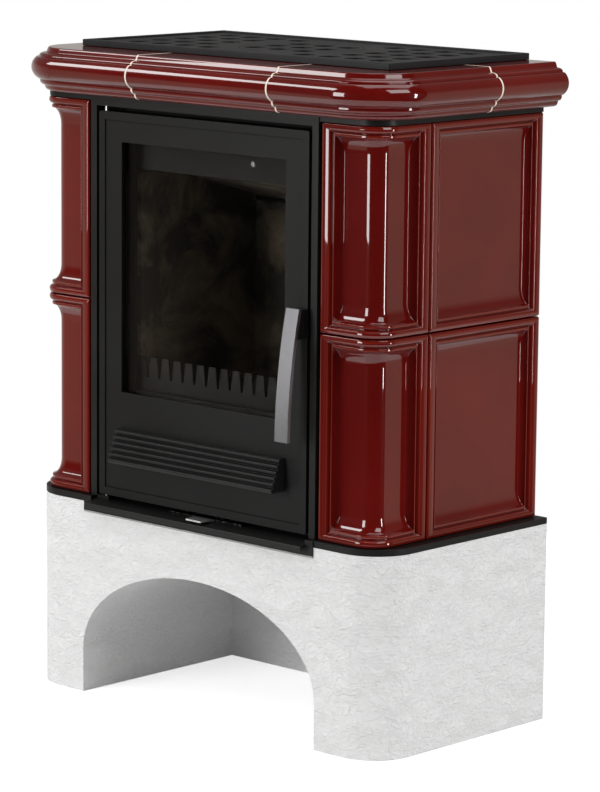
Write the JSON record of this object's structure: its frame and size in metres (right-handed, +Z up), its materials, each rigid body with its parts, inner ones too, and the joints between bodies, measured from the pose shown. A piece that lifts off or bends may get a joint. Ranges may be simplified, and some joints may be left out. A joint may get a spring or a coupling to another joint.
{
  "type": "tiled stove",
  "caption": "Glazed tiled wood stove with a moulded cornice, cast grille top, glass fire door with a bow handle, and a plastered plinth with an arched wood store.",
  "frame": {"origin": "middle of the footprint on the floor, under the plinth", "axes": "+Z up, -Y towards the fire door, +X towards the latch side of the door"},
  "size_m": [0.7652, 0.417, 0.99],
  "materials": {
    "glaze": "deep oxblood glaze, high gloss",
    "grout": "cream grout, matt",
    "plaster": "white trowelled plaster, rough",
    "black_steel": "satin black stove paint",
    "cast_black": "fine cast, black stove paint",
    "cast_grate": "bare casting, heat marked",
    "brushed_steel": "brushed along its length",
    "bright_steel": "bright turned or sheared steel",
    "boiler_plate": "heat resistant grey paint",
    "seal_rope": "knitted glass rope",
    "fire_clay": "pressed fire clay, matt",
    "galvanised": "zinc coated sheet",
    "glass": "clear ceramic glass"
  },
  "bodies": {
    "stove": {"plinth": "plaster", "carrier_plate": "black_steel", "cornice_carrier": "black_steel", "corner_tile_left_lower": "glaze", "side_tile_left_lower": "glaze", "corner_tile_right_lower": "glaze", "side_tile_right_lower": "glaze", "corner_tile_left_upper": "glaze", "side_tile_left_upper": "glaze", "corner_tile_right_upper": "glaze", "side_tile_right_upper": "glaze", "cornice_left_rear": "glaze", "cornice_left_corner": "glaze", "cornice_front": "glaze", "cornice_right_corner": "glaze", "cornice_right_rear": "glaze", "cornice_joint_left_side": "grout", "cornice_joint_front_left": "grout", "cornice_joint_front_right": "grout", "cornice_joint_right_side": "grout", "top_plate": "cast_black", "top_cover": "cast_black", "front_frame": "black_steel", "ash_sill": "black_steel", "slide_screw_left": "bright_steel", "slide_screw_right": "bright_steel", "hinge_pin_upper": "bright_steel", "hinge_pin_lower": "bright_steel", "hinge_block_lower": "bright_steel", "latch_keeper": "bright_steel", "firebox": "boiler_plate", "hearth_plate": "cast_grate", "grate": "cast_grate", "log_retainer": "cast_grate", "air_wash_plate": "boiler_plate", "ash_pan": "galvanised", "fire_brick_left": "fire_clay", "fire_brick_right": "fire_clay", "fire_brick_rear": "fire_clay", "floor_brick_left": "fire_clay", "floor_brick_right": "fire_clay", "baffle": "fire_clay", "flue_collar": "boiler_plate", "top_outlet_cap": "boiler_plate", "casing_left": "black_steel", "casing_right": "black_steel", "rear_panel": "galvanised"},
    "door": {"door_frame": "cast_black", "door_glass": "glass", "glass_seal": "seal_rope", "door_seal": "seal_rope", "glass_retainer_left": "boiler_plate", "glass_retainer_right": "boiler_plate", "door_liner": "boiler_plate", "air_hood": "cast_black"},
    "handle": {"handle_bar": "brushed_steel", "handle_bracket": "cast_black", "handle_spindle": "bright_steel", "latch_cam": "cast_black"},
    "air_slide": {"air_slide": "bright_steel"}
  },
  "joints": [
    {"name": "door_hinge", "type": "hinge", "parent": "stove", "child": "door", "pos_m": [-0.205, -0.1595, 0.6], "axis": [0, 0, -1], "range_deg": [0, 110]},
    {"name": "handle_turn", "type": "hinge", "parent": "door", "child": "handle", "pos_m": [0.201, -0.18, 0.622], "axis": [0, -1, 0], "range_deg": [0, 60]},
    {"name": "air_slide_travel", "type": "slide", "parent": "stove", "child": "air_slide", "axis": [1, 0, 0], "range_m": [-0.025, 0.025]}
  ]
}
